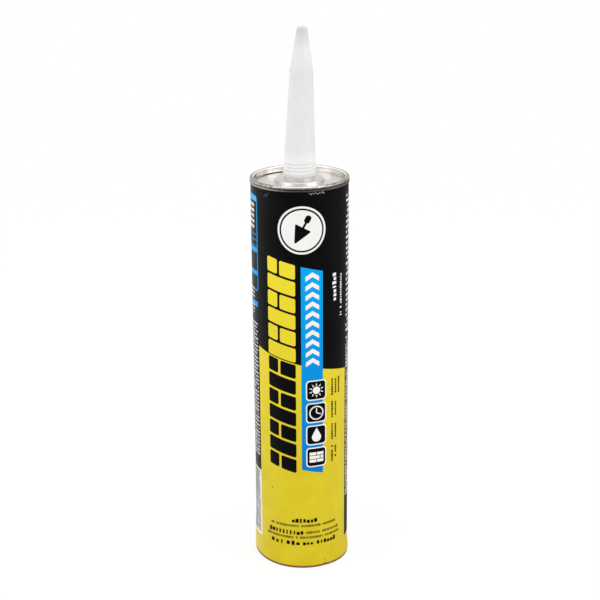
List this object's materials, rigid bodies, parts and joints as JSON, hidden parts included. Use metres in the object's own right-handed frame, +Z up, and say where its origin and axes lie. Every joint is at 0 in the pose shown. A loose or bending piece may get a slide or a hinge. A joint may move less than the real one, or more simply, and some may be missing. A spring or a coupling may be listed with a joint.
{
  "type": "construction adhesive cartridge",
  "caption": "Wound-board cartridge with a glued label, a crimped tinplate end, a tapered closed nozzle and a cup plunger that slides up from the open foot.",
  "frame": {"origin": "centre of the foot ring that the cartridge stands on", "axes": "+Z up along the tube to the nozzle, -Y to the middle of the label's front, +Y to the label's lap"},
  "size_m": [0.0516, 0.0516, 0.2915],
  "materials": {
    "wound_board": "matt, spirally wound",
    "liner_foil": "satin foil on paper",
    "label_print": "glossy printed paper",
    "tinplate": "bright, stamped",
    "sealing_compound": "matt",
    "nozzle_plastic": "smooth moulded, slightly see-through",
    "seal_foil": "satin",
    "adhesive": "wet paste",
    "plunger_plastic": "smooth moulded"
  },
  "bodies": {
    "cartridge": {"tube_body": "wound_board", "foil_liner": "liner_foil", "printed_label": "label_print", "metal_end": "tinplate", "seam_compound": "sealing_compound", "nozzle": "nozzle_plastic", "inner_seal": "seal_foil", "adhesive_fill": "adhesive"},
    "plunger": {"plunger": "plunger_plastic"}
  },
  "joints": [
    {"name": "plunger_slide", "type": "slide", "parent": "cartridge", "child": "plunger", "axis": [0, 0, 1], "range_m": [0, 0.17088], "deforming": ["adhesive_fill"]}
  ]
}
